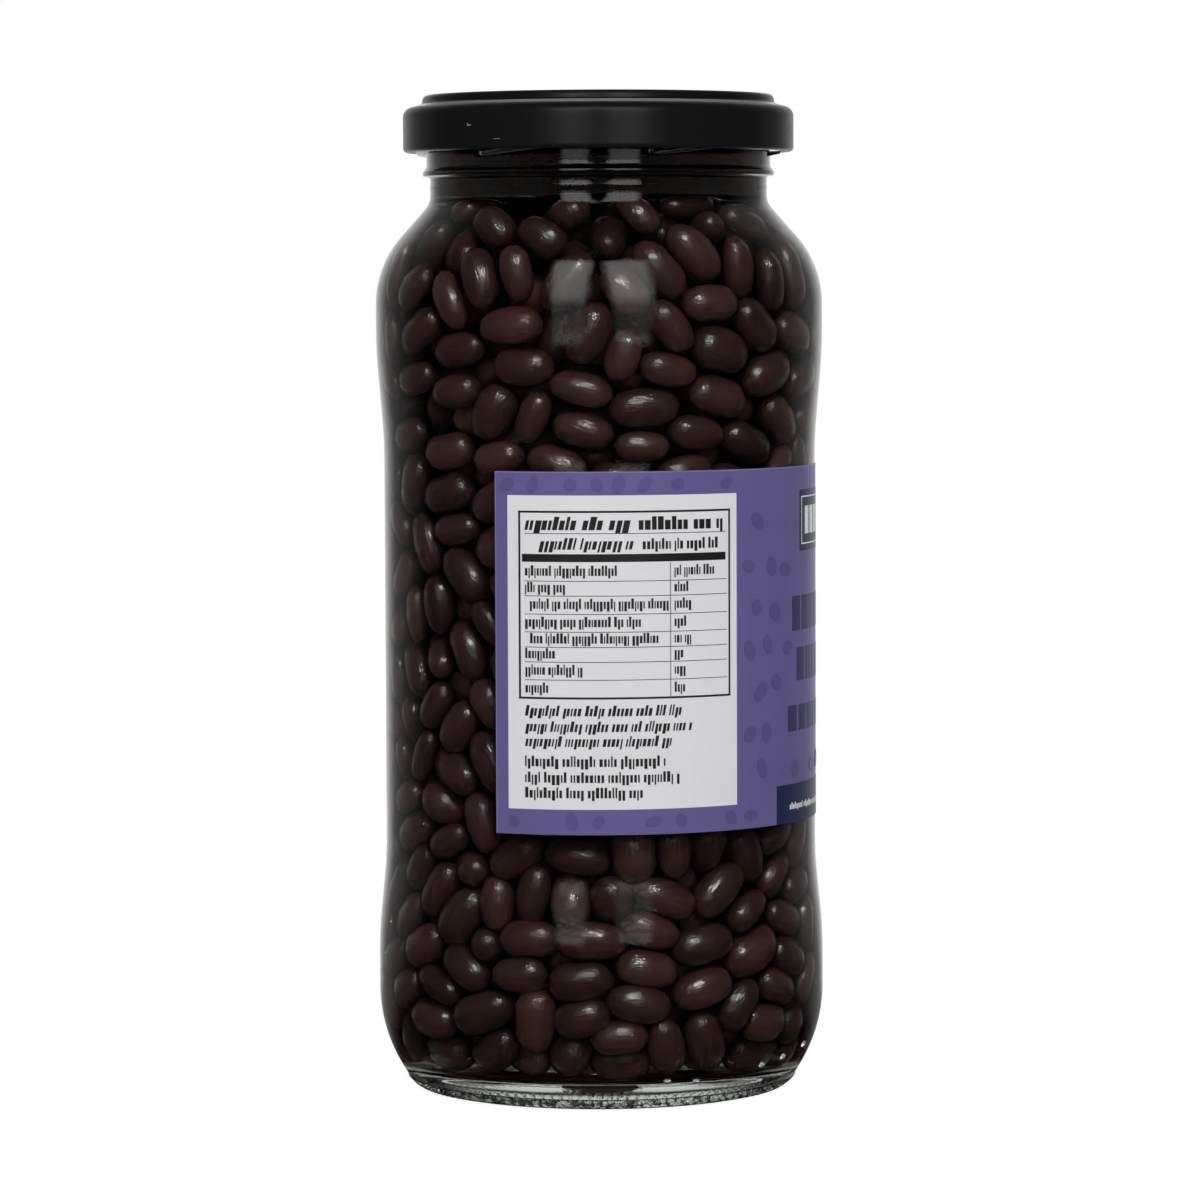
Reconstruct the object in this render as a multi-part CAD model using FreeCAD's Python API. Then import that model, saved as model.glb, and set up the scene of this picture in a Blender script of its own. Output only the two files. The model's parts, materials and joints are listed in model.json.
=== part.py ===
import FreeCAD, Part
import math
import os

# A shut preserving jar of cooked black beans in their dark brine.
# Millimetres, +Z up, origin on the jar's axis where its foot stands.
# Angles about the axis are counted from -Y (the front) towards +X.

# ---------------------------------------------------------------- driving dimensions
BULGE_R = 38.1            # largest radius, on the two bands that guard the label
PANEL_R = 36.8            # straight wall that carries the label
NECK_R = 28.7             # plain neck under the transfer bead
FINISH_R = 29.3           # wall of the screw finish above the bead
GLASS_H = 168.0           # height of the glass rim
WALL = 2.4                # blown wall of the body
BORE_R = 26.3             # mouth of the jar

PANEL_Z = (39.5, 110.5)   # where the label panel starts to swell into the two bands
BAND_Z = (26.5, 126.0)    # where the two bands reach full radius
SHOULDER_Z = 140.2        # outer corner of the shoulder, before it is rounded
NECK_Z = 150.8            # inner corner of the shoulder, before it is rounded
HEEL_Z = 8.8              # outer corner of the heel, before it is rounded
HEEL_R = 26.0             # rounding of the heel
FOOT_R = (28.4, 31.9)     # narrow ring that the jar stands on
PUNT_Z = 3.6              # how far the underside is pushed up inside that ring
FLOOR_Z = (4.9, 7.4)      # inside floor at its edge and at its crown

BEAD_Z = (155.3, 156.9)   # transfer bead: flat underside and sloped top
BEAD_R = 29.95
PARTING_Z = 153.4         # ridge left where the neck mould meets the body mould

STARTS = 6                # short thread starts, and as many lugs in the lid
THREAD_START = -43.0      # lower end of the first thread, in degrees
THREAD_SPAN = 46.0        # how far round each thread runs, in degrees
THREAD_Z = 159.7          # middle height of a thread at its lower end
THREAD_LEAD = 20.0        # rise of the thread in one whole turn
THREAD_R = 31.2           # tip radius of the thread
LUG_ARC = (29.0, 42.0)    # where under its thread each lug sits, in degrees from its lower end

LID_R = 33.25             # skirt of the lid
LID_BOTTOM = 159.4        # underside of the rolled edge
LID_TOP = 169.1           # top of the raised ring
LID_RING_R = 30.0         # outside of the raised ring
LID_CHANNEL_R = 26.0      # inside of the raised ring
LID_PANEL_Z = 167.6       # recessed middle of the lid
LID_SHEET = 0.3           # tinplate with its lacquer
CURL_R = 0.75             # rolled edge, outside radius
BUTTON_R = 11.0           # safety button in the middle, drawn down by the vacuum

LABEL_Z = (46.5, 106.4)   # lower and upper edge of the label
LABEL_ARC = (-28.5, 198.5)
LABEL_THICKNESS = 0.12

BRINE_Z = 160.5           # level of the brine
HEAP_Z = 148.6            # mean height of the top of the heap
BEAN_LENGTH = 10.6
BEAN_WIDTH = 7.3
TOP_BEANS = 44            # beans that stand out of the top of the heap
TOP_SPREAD = 31.0         # radius that they are spread over
HEAP_GRID = 1.4           # spacing of the points that the top of the heap is drawn through

GOLDEN_ANGLE = 137.508    # degrees between neighbours of a sunflower layout


# ---------------------------------------------------------------- shared shapes
def at(r, z, angle=0.0):
    """Point at radius r and height z, turned by angle from the front."""
    turn = math.radians(angle - 90.0)
    return FreeCAD.Vector(r * math.cos(turn), r * math.sin(turn), z)


def rounded(corners, angle=0.0, closed=True):
    """Wire through corners (r, z, rounding), each corner with a rounding replaced by a tangent arc."""
    points = [at(c[0], c[1], angle) for c in corners]
    roundings = [c[2] if len(c) > 2 else 0.0 for c in corners]
    count = len(points)
    edges, entry, first = [], None, None
    for i in range(count):
        corner, rounding = points[i], roundings[i]
        if rounding:
            back = (points[i - 1] - corner).normalize()
            ahead = (points[(i + 1) % count] - corner).normalize()
            half = back.getAngle(ahead) / 2.0
            reach = rounding / math.tan(half)
            middle = (back + ahead).normalize()
            nearest = corner + middle * (rounding / math.sin(half) - rounding)
            start, end = corner + back * reach, corner + ahead * reach
        else:
            start = end = corner
        if entry is None:
            first = start
        elif (start - entry).Length > 1e-6:
            edges.append(Part.makeLine(entry, start))
        if rounding:
            edges.append(Part.Arc(start, nearest, end).toShape())
        entry = end
    if closed:
        edges.append(Part.makeLine(entry, first))
    return Part.Wire(edges)


def turned(corners):
    """Solid of revolution of a closed rounded outline."""
    return Part.Face(rounded(corners)).revolve(at(0, 0), FreeCAD.Vector(0, 0, 1), 360)


def helical_bar(section, start, span, height):
    """Bar with the given section (r, dz, rounding), climbing round the jar from start with the thread's lead.

    Both ends run out into the wall, so the section's reach beyond the bar's root is scaled along the way.
    """
    root = min(c[0] for c in section)
    wires = []
    for share, reach in ((0.0, 0.45), (0.07, 0.8), (0.16, 1.0), (0.5, 1.0), (0.84, 1.0), (0.93, 0.8), (1.0, 0.45)):
        angle = start + span * share
        z = height + THREAD_LEAD * span * share / 360.0
        corners = [(root + (c[0] - root) * reach, z + c[1] * (0.55 + 0.45 * reach)) + tuple(c[2:]) for c in section]
        wires.append(rounded(corners, angle))
    return Part.makeLoft(wires, True, False)


# ---------------------------------------------------------------- glass jar
def cavity_outline():
    """Inside of the jar from the crown of the floor up to the rim, as corners (r, z, rounding)."""
    wall_band = BULGE_R - WALL - 0.1
    wall_panel = PANEL_R - WALL
    return [
        (0.0, FLOOR_Z[1]),
        (12.0, FLOOR_Z[1] - 0.3, 60.0),
        (30.4, FLOOR_Z[0], 5.0),
        (wall_band, HEEL_Z + 4.0, 16.0),
        (wall_band, BAND_Z[0] + 1.0, 60.0),
        (wall_panel, PANEL_Z[0] - 1.0, 60.0),
        (wall_panel, PANEL_Z[1] + 1.0, 60.0),
        (wall_band, BAND_Z[1] - 1.0, 60.0),
        (wall_band, SHOULDER_Z - 1.3, 15.0),
        (BORE_R, NECK_Z + 0.6, 6.0),
    ]


def cavity(level):
    """Solid that fills the jar up to a level inside the neck."""
    return turned(cavity_outline() + [(BORE_R, level), (0.0, level)])


def glass_body():
    """Wall, heel, foot, bead and rim of the jar, without its thread."""
    outside = [
        (FINISH_R, GLASS_H, 1.2),
        (FINISH_R, BEAD_Z[1]),
        (BEAD_R, BEAD_Z[0] + 0.75, 0.4),
        (BEAD_R, BEAD_Z[0], 0.3),
        (NECK_R, BEAD_Z[0], 0.5),
        (NECK_R, PARTING_Z + 0.25),
        (NECK_R + 0.12, PARTING_Z),
        (NECK_R, PARTING_Z - 0.25),
        (NECK_R, NECK_Z, 3.4),
        (BULGE_R, SHOULDER_Z, 17.5),
        (BULGE_R, BAND_Z[1], 90.0),
        (PANEL_R, PANEL_Z[1], 80.0),
        (PANEL_R, PANEL_Z[0], 70.0),
        (BULGE_R, BAND_Z[0], 80.0),
        (BULGE_R, HEEL_Z, HEEL_R),
        (FOOT_R[1], 0.0, 2.0),
        (FOOT_R[0], 0.0, 1.0),
        (FOOT_R[0] - 2.2, 1.7, 4.0),
        (14.0, PUNT_Z - 0.25, 30.0),
        (0.0, PUNT_Z),
    ]
    inside = cavity_outline() + [(BORE_R, GLASS_H, 1.1)]
    return turned(outside + inside)


def threads():
    """Six short thread starts round the finish, each with a flat underside for a lug to draw down on."""
    section = [
        (FINISH_R - 1.3, -0.8),
        (THREAD_R, -0.75, 0.4),
        (THREAD_R, 0.1, 0.5),
        (FINISH_R - 0.2, 1.3),
        (FINISH_R - 1.3, 1.3),
    ]
    pitch = 360.0 / STARTS
    return [helical_bar(section, THREAD_START + i * pitch, THREAD_SPAN, THREAD_Z) for i in range(STARTS)]


def jar_glass():
    return glass_body().fuse(threads()).removeSplitter()


# ---------------------------------------------------------------- lid and its seal
def lid_sheet():
    """Pressed tinplate: dished button, recessed panel, raised ring, step, skirt and rolled edge."""
    surface = [
        (0.0, LID_PANEL_Z - 0.35),
        (7.0, LID_PANEL_Z - 0.35, 9.0),
        (BUTTON_R, LID_PANEL_Z + 0.35, 1.6),
        (BUTTON_R + 1.6, LID_PANEL_Z, 1.2),
        (LID_CHANNEL_R - 0.7, LID_PANEL_Z, 0.9),
        (LID_CHANNEL_R, LID_TOP, 0.8),
        (LID_RING_R - 0.05, LID_TOP, 0.7),
        (LID_RING_R, LID_TOP - 1.4, 0.7),
        (LID_RING_R + 1.4, LID_TOP - 1.95, 1.0),
        (LID_R, LID_TOP - 2.3, 1.4),
        (LID_R, LID_BOTTOM + CURL_R),
    ]
    outer = rounded(surface, closed=False)
    roll = LID_R - CURL_R
    swing = [at(roll + CURL_R * math.cos(math.radians(a)), LID_BOTTOM + CURL_R + CURL_R * math.sin(math.radians(a)))
             for a in (0.0, -125.0, -250.0)]
    skin = Part.Wire(outer.Edges + [Part.Arc(*swing).toShape()])
    sheet = skin.makeOffset2D(-LID_SHEET, 0, True, True)
    return sheet.revolve(at(0, 0), FreeCAD.Vector(0, 0, 1), 360)


def lugs():
    """Lugs pressed inwards from the rolled edge, following the thread's lead close under it."""
    section = [
        (THREAD_R - 0.55, -1.7, 0.3),
        (LID_R - 0.9, -1.7),
        (LID_R - 0.9, -0.85),
        (THREAD_R - 0.55, -0.85, 0.3),
    ]
    pitch = 360.0 / STARTS
    rise = THREAD_LEAD * LUG_ARC[0] / 360.0
    bars = []
    for i in range(STARTS):
        start = THREAD_START + i * pitch + LUG_ARC[0]
        wires = [rounded([(c[0], c[1] + THREAD_Z + rise + THREAD_LEAD * turn / 360.0) + tuple(c[2:]) for c in section],
                         start + turn)
                 for turn in (0.0, (LUG_ARC[1] - LUG_ARC[0]) / 2.0, LUG_ARC[1] - LUG_ARC[0])]
        bars.append(Part.makeLoft(wires, True, False))
    return bars


def lid():
    return lid_sheet().fuse(lugs()).removeSplitter()


def lid_seal(glass, cap):
    """Sealing compound flowed into the raised ring and pressed down over the rim."""
    ring = turned([
        (LID_CHANNEL_R + 0.2, GLASS_H - 0.35, 0.2),
        (LID_RING_R - 0.2, GLASS_H - 0.35, 0.2),
        (LID_RING_R - 0.2, LID_TOP - 0.1),
        (LID_CHANNEL_R + 0.2, LID_TOP - 0.1),
    ])
    pressed = ring.cut([cap, glass])
    return max(pressed.Solids, key=lambda solid: solid.Volume)


# ---------------------------------------------------------------- contents
def heap_height(x, y):
    """Height of the heap's top over (x, y): the highest of the oval backs of the beans lying there."""
    height = HEAP_Z - 1.4
    for i in range(TOP_BEANS):
        place = at(TOP_SPREAD * math.sqrt((i + 0.5) / TOP_BEANS), 0.0, GOLDEN_ANGLE * i)
        turn = math.radians(97.0 * i)
        along = (x - place.x) * math.cos(turn) + (y - place.y) * math.sin(turn)
        across = (y - place.y) * math.cos(turn) - (x - place.x) * math.sin(turn)
        length = BEAN_LENGTH / 2.0 * (1.0 + 0.09 * math.sin(2.3 * i + 0.4))
        width = BEAN_WIDTH / 2.0 * (1.0 + 0.07 * math.cos(3.1 * i))
        off = (along / length) ** 2 + (across / width) ** 2
        if off < 1.0:
            middle = HEAP_Z - 1.6 + 1.5 * math.sin(1.7 * i) + 0.7 * math.cos(4.3 * i)
            height = max(height, middle + width * math.sqrt(1.0 - off))
    return height


def heap_block():
    """Block whose top is the uneven top of the heap, reaching down past the floor and out past the wall."""
    steps = [HEAP_GRID * i - BULGE_R - 2.0 for i in range(int(2.0 * (BULGE_R + 2.0) / HEAP_GRID) + 2)]
    top = Part.BSplineSurface()
    top.interpolate([[FreeCAD.Vector(x, y, heap_height(x, y)) for y in steps] for x in steps])
    return top.toShape().extrude(FreeCAD.Vector(0, 0, -2.0 * HEAP_Z))


def contents():
    """The heap of beans out to the glass with its uneven top, and the brine that stands over it."""
    filled = cavity(BRINE_Z)
    over = max(filled.cut(heap_block()).Solids, key=lambda solid: solid.Volume)
    return filled.cut(over), over


# ---------------------------------------------------------------- label
def label():
    """Paper label laid round the straight panel, short of meeting itself at the back."""
    strip = rounded([
        (PANEL_R, LABEL_Z[0]),
        (PANEL_R + LABEL_THICKNESS, LABEL_Z[0]),
        (PANEL_R + LABEL_THICKNESS, LABEL_Z[1]),
        (PANEL_R, LABEL_Z[1]),
    ], LABEL_ARC[0])
    return Part.Face(strip).revolve(at(0, 0), FreeCAD.Vector(0, 0, 1), LABEL_ARC[1] - LABEL_ARC[0])


# ---------------------------------------------------------------- export
glass = jar_glass()
cap = lid()
heap, brine = contents()
pieces = {
    "jar_glass": glass,
    "lid": cap,
    "lid_seal": lid_seal(glass, cap),
    "beans": heap,
    "brine": brine,
    "label": label(),
}
os.makedirs("parts", exist_ok=True)
for name, shape in pieces.items():
    shape.exportStep("parts/" + name + ".step")
    print(name, "valid", shape.isValid(), "solids", len(shape.Solids), "cm3", round(shape.Volume / 1000.0, 3))
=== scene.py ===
import math
import bmesh
import bpy
import numpy as np
from mathutils import Matrix, Vector
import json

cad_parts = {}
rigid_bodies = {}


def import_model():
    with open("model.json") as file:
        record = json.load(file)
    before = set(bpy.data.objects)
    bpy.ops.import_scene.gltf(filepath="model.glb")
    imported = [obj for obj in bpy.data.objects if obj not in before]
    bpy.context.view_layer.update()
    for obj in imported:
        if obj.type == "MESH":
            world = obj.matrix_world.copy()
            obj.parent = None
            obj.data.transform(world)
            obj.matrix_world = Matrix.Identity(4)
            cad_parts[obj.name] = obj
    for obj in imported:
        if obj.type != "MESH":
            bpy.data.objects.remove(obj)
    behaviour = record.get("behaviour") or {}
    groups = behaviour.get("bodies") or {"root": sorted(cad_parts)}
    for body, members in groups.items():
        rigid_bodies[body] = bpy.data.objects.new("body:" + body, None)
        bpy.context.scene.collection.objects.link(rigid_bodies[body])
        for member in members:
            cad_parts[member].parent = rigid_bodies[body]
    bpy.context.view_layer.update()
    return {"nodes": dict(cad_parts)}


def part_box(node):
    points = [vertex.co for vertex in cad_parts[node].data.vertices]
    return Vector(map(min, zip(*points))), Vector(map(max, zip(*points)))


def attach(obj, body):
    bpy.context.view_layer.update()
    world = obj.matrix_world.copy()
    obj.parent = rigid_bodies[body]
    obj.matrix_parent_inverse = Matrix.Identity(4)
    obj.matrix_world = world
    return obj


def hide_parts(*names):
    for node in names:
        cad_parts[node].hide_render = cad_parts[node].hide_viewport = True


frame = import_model()
MM = 0.001


# ---------------------------------------------------------------- glass jar
# Clear soda-lime glass, pressed and blown in a two-part mould: two guard bands with the label panel
# between them, a transfer bead and six thread starts at the neck, and a knurled foot under a heavy base.
def rounded_outline(corners, step):
    """Points (r, z) through corners (r, z, rounding); step is the longest run in a rounded corner's arc."""
    points = [Vector(corners[0][:2])]
    for before, corner, after in zip(corners, corners[1:], corners[2:]):
        tip = Vector(corner[:2])
        if len(corner) < 3:
            points.append(tip)
            continue
        back = (Vector(before[:2]) - tip).normalized()
        ahead = (Vector(after[:2]) - tip).normalized()
        half = back.angle(ahead) / 2.0
        centre = tip + (back + ahead).normalized() * corner[2] / math.sin(half)
        start = tip + back * corner[2] / math.tan(half) - centre
        turn = math.pi - 2.0 * half
        count = max(2, math.ceil(turn * corner[2] / step))
        side = math.copysign(turn, back.cross(ahead))
        for i in range(count + 1):
            points.append(centre + Matrix.Rotation(-side * i / count, 2) @ start)
    points.append(Vector(corners[-1][:2]))
    return points


def filled_in(points, step):
    """The same outline with its long straight runs divided."""
    dense = [points[0]]
    for start, end in zip(points, points[1:]):
        count = max(1, math.ceil((end - start).length / step))
        dense += [start.lerp(end, i / count) for i in range(1, count + 1)]
    return dense


def turned_mesh(name, outline, segments, reshape=None):
    """Closed mesh of an outline (r, z) in millimetres that starts and ends on the axis.

    reshape gets the angle from the front, the radius and the height of all the ring points and returns
    new radii and heights.
    """
    rings = np.array([tuple(p) for p in outline[1:-1]])
    angle = np.arange(segments) * 2.0 * math.pi / segments
    turn, r = np.meshgrid(angle, rings[:, 0])
    z = np.meshgrid(angle, rings[:, 1])[1]
    if reshape:
        r, z = reshape(turn, r, z)
    verts = np.stack([r * np.sin(turn), -r * np.cos(turn), z], axis=2).reshape(-1, 3)
    poles = [(0.0, 0.0, outline[0][1]), (0.0, 0.0, outline[-1][1])]
    verts = np.concatenate([verts, poles]) * MM
    first, last = len(verts) - 2, len(verts) - 1
    faces = []
    for j in range(segments):
        k = (j + 1) % segments
        faces.append((first, k, j))
        for i in range(len(rings) - 1):
            a = i * segments
            faces.append((a + j, a + k, a + segments + k, a + segments + j))
        a = (len(rings) - 1) * segments
        faces.append((a + j, a + k, last))
    mesh = bpy.data.meshes.new(name)
    mesh.from_pydata(verts.tolist(), [], faces)
    return closed_and_smooth(mesh)


def closed_and_smooth(mesh):
    """Turns all normals outwards and shades the mesh smooth."""
    work = bmesh.new()
    work.from_mesh(mesh)
    bmesh.ops.recalc_face_normals(work, faces=work.faces)
    work.to_mesh(mesh)
    work.free()
    mesh.shade_smooth()
    return mesh


def placed(name, mesh, slot, *materials):
    """Object of a finished mesh that rides on the jar, with the given materials; slot is not used."""
    thing = bpy.data.objects.new(name, mesh)
    bpy.context.scene.collection.objects.link(thing)
    if materials:
        mesh.materials.clear()
    for material in materials:
        mesh.materials.append(material)
    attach(thing, "root")
    return thing


def smoothstep(low, high, value):
    """Soft step from 0 at low to 1 at high."""
    share = np.clip((value - low) / (high - low), 0.0, 1.0)
    return share * share * (3.0 - 2.0 * share)


def new_finish(name, colour, roughness, **sockets):
    """Material with its Principled shader set; returns the material, its nodes, its links and the shader."""
    material = bpy.data.materials.new(name)
    material.use_nodes = True
    nodes = material.node_tree.nodes
    skin = nodes["Principled BSDF"]
    skin.inputs["Base Color"].default_value = (*colour, 1.0)
    skin.inputs["Roughness"].default_value = roughness
    for socket, value in sockets.items():
        skin.inputs[socket.replace("_", " ")].default_value = value
    return material, nodes, material.node_tree.links, skin


def ranged(tree, value, low, high, ends=(0.0, 1.0), kind="LINEAR"):
    """Socket that runs between the two ends while the value's socket goes from low to high."""
    span = tree.nodes.new("ShaderNodeMapRange")
    span.interpolation_type = kind
    for socket, number in zip(("From Min", "From Max", "To Min", "To Max"), (low, high, *ends)):
        span.inputs[socket].default_value = number
    tree.links.new(value, span.inputs["Value"])
    return span.outputs[0]


def chosen(tree, factor, low, high):
    """Socket that gives low where the factor is 0 and high where it is 1, each a number or a socket."""
    mix = tree.nodes.new("ShaderNodeMix")
    tree.links.new(factor, mix.inputs[0])
    for socket, given in ((mix.inputs[2], low), (mix.inputs[3], high)):
        if isinstance(given, float):
            socket.default_value = given
        else:
            tree.links.new(given, socket)
    return mix.outputs[0]


def layered(tree, surface, layers):
    """Lays the shader of each (factor, shader) over the surface and sends the result to the output."""
    for layer in layers:
        mix = tree.nodes.new("ShaderNodeMixShader")
        for socket, source in zip(mix.inputs, (layer[0], surface, layer[1])):
            tree.links.new(source, socket)
        surface = mix.outputs[0]
    tree.links.new(surface, tree.nodes["Material Output"].inputs["Surface"])


def make_unevenness():
    """Shader group: slow waves with a finer grain over them, as a Height and as a Tone from 0 to 1."""
    tree = bpy.data.node_groups.new("unevenness", "ShaderNodeTree")
    for name, value in (("Waves", 60.0), ("Grain", 1500.0), ("Grain Share", 0.2)):
        tree.interface.new_socket(name, in_out="INPUT", socket_type="NodeSocketFloat").default_value = value
    for name in ("Height", "Tone"):
        tree.interface.new_socket(name, in_out="OUTPUT", socket_type="NodeSocketFloat")
    given = tree.nodes.new("NodeGroupInput")
    made = tree.nodes.new("NodeGroupOutput")
    place = tree.nodes.new("ShaderNodeTexCoord")
    noises = []
    for socket, detail in (("Waves", 2.0), ("Grain", 4.0)):
        noise = tree.nodes.new("ShaderNodeTexNoise")
        noise.inputs["Detail"].default_value = detail
        tree.links.new(place.outputs["Object"], noise.inputs["Vector"])
        tree.links.new(given.outputs[socket], noise.inputs["Scale"])
        noises.append(noise.outputs[0])
    both = chosen(tree, given.outputs["Grain Share"], *noises)
    tree.links.new(both, made.inputs["Height"])
    tree.links.new(ranged(tree, both, 0.3, 0.7), made.inputs["Tone"])
    return tree


UNEVENNESS = make_unevenness()


def uneven(nodes, links, skin, waves, grain, share, depth):
    """Puts the unevenness into a material's normal and returns its node."""
    group = nodes.new("ShaderNodeGroup")
    group.node_tree = UNEVENNESS
    group.inputs["Waves"].default_value = waves
    group.inputs["Grain"].default_value = grain
    group.inputs["Grain Share"].default_value = share
    bump = nodes.new("ShaderNodeBump")
    bump.inputs["Distance"].default_value = depth
    links.new(group.outputs["Height"], bump.inputs["Height"])
    links.new(bump.outputs["Normal"], skin.inputs["Normal"])
    return group


def see_through(name, colour, ior, depth, unbent=("Is Diffuse Ray", "Is Glossy Ray", "Is Shadow Ray")):
    """Clear finish with the slow waves of blown glass. Rays of the unbent kinds go straight through it."""
    material, nodes, links, skin = new_finish(name, colour, 0.0, Transmission_Weight=1.0, IOR=ior)
    if depth:
        uneven(nodes, links, skin, 90.0, 650.0, 0.22, depth)
    path = nodes.new("ShaderNodeLightPath")
    clear = nodes.new("ShaderNodeBsdfTransparent")
    layers = [(path.outputs[ray], clear.outputs[0]) for ray in unbent]
    layered(material.node_tree, skin.outputs[0], layers)
    return material


glass_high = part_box("jar_glass")[1]
BAND_R = glass_high.x / MM
RIM_Z = glass_high.z / MM
PANEL_R = BAND_R - 1.3
NECK_R = BAND_R - 9.4
FINISH_R = NECK_R + 0.6
BORE_R = FINISH_R - 3.0
WALL = 2.4
BAND_BORE_R = BAND_R - WALL - 0.1
PANEL_BORE_R = PANEL_R - WALL
SEGMENTS = 400

# Thread starts: angle of the first from the front, degrees that each runs, and its rise in a whole turn.
STARTS = 6
THREAD_START = -43.0
THREAD_SPAN = 46.0
THREAD_RUN_OUT = 5.0
THREAD_LOW = RIM_Z - 8.7
THREAD_LEAD = 20.0
THREAD_DEPTH = 1.9

# Foot: its rings are (share of the foot's height, shade), painted light and shade in the glass's colour,
# standing in for the light and dark that thick knurled glass bends.
FOOT_Z = 4.6
FOOT_R = 30.5
PAINTED_FOOT_RINGS = (
    (0.0, 0.1), (0.06, 0.05), (0.12, 0.9), (0.34, 1.0), (0.38, 0.03), (0.41, 0.03),
    (0.45, 0.9), (0.56, 0.6), (0.6, 0.05), (0.66, 0.06), (0.72, 0.8), (0.86, 1.0), (0.93, 0.2), (1.0, 0.5),
)
# Share of the foot's height below which a painted stipple of shade lies in the glass's colour.
PAINTED_STIPPLE_TOP = (0.36, 0.42)
KNURLS = 130
KNURL_DEPTH = 0.3

# The mould's dots on the heel, each as (angle from the front, height).
DOT_R = 0.6
MOULD_DOTS = ((18.0, 5.2), (26.5, 4.9), (48.5, 6.3), (57.5, 7.0), (69.0, 8.2))

cavity_corners = [
    (0.0, 7.4),
    (12.0, 7.1, 60.0),
    (30.4, 4.9, 5.0),
    (BAND_BORE_R, 12.8, 16.0),
    (BAND_BORE_R, 27.5, 60.0),
    (PANEL_BORE_R, 38.5, 60.0),
    (PANEL_BORE_R, 111.5, 60.0),
    (BAND_BORE_R, 125.0, 60.0),
    (BAND_BORE_R, 138.9, 15.0),
    (BORE_R, 151.4, 6.0),
]
underside = filled_in(rounded_outline([
    (0.0, 3.6),
    (14.0, 3.35, 30.0),
    (26.2, 1.7, 4.0),
    (28.4, 0.0, 1.0),
    (31.9, 0.0, 2.0),
    (BAND_R, 8.8, 26.0),
    (BAND_R, 26.5, 80.0),
    (PANEL_R, 39.5, 70.0),
    (PANEL_R, 75.0),
], 1.4), 6.0)
knurled = [i for i, p in enumerate(underside) if p[0] > 28.0 and p[1] < 3.0]
start, end = knurled[0], knurled[-1] + 1
underside = underside[:start] + filled_in(underside[start:end], 0.4) + underside[end:]
upper_body = filled_in(rounded_outline([
    (PANEL_R, 81.0),
    (PANEL_R, 110.5, 80.0),
    (BAND_R, 126.0, 90.0),
    (BAND_R, 140.2, 17.5),
    (NECK_R, 150.8, 3.4),
    (NECK_R, 153.15),
    (NECK_R + 0.12, 153.4),
    (NECK_R, 153.65),
    (NECK_R, 155.3, 0.5),
    (NECK_R + 1.25, 155.3, 0.3),
    (NECK_R + 1.25, 156.05, 0.4),
    (FINISH_R, 156.9),
    (FINISH_R, 157.6),
], 0.9), 5.0)
finish_wall = filled_in([Vector((FINISH_R, 157.8)), Vector((FINISH_R, 165.6))], 0.24)
rim = rounded_outline([
    (FINISH_R, 166.0),
    (FINISH_R, RIM_Z, 1.2),
    (BORE_R, RIM_Z, 1.1),
    (BORE_R, 162.0),
], 0.35)
inside = filled_in(rounded_outline([(BORE_R, 160.5)] + cavity_corners[::-1], 1.6), 6.0)


def moulded(turn, r, z):
    """Thread starts on the finish and knurls on the foot, as the mould leaves them on the outside."""
    outer = r > FINISH_R - 0.5
    for i in range(STARTS):
        along = (np.degrees(turn) - THREAD_START - i * 360.0 / STARTS) % 360.0
        run_out = smoothstep(THREAD_SPAN - THREAD_RUN_OUT, THREAD_SPAN, along)
        run = smoothstep(0.0, THREAD_RUN_OUT, along) * (1.0 - run_out)
        off = z - THREAD_LOW - THREAD_LEAD * along / 360.0
        ridge = smoothstep(-0.95, -0.6, off) * (1.0 - smoothstep(0.1, 1.35, off))
        r = r + THREAD_DEPTH * run * ridge * outer * (z > 157.7) * (z < 166.0)
    foot_band = (r > 29.0) * smoothstep(0.05, 0.4, z) * (1.0 - smoothstep(1.6, 2.3, z)) * (z < 2.4)
    wave = np.sin(turn * KNURLS + 1.3 * z) * np.sin(turn * 7.0 + 2.0 * z + 0.6)
    r = r + KNURL_DEPTH * foot_band * (np.sin(turn * KNURLS + 2.0 * z) + 0.5 * wave)
    return r, z


outline = underside + upper_body + finish_wall + rim + inside
glass_mesh = turned_mesh("jar_glass_blown", outline, SEGMENTS, moulded)

GLASS_IOR = 1.5
BRINE_IOR = 1.34
GLASS_WAVES = 0.00009
GLASS = (0.93, 0.95, 0.93)
WET_GLASS = (0.97, 0.98, 0.97)
THICK_UNBENT = ("Is Diffuse Ray", "Is Shadow Ray")


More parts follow.
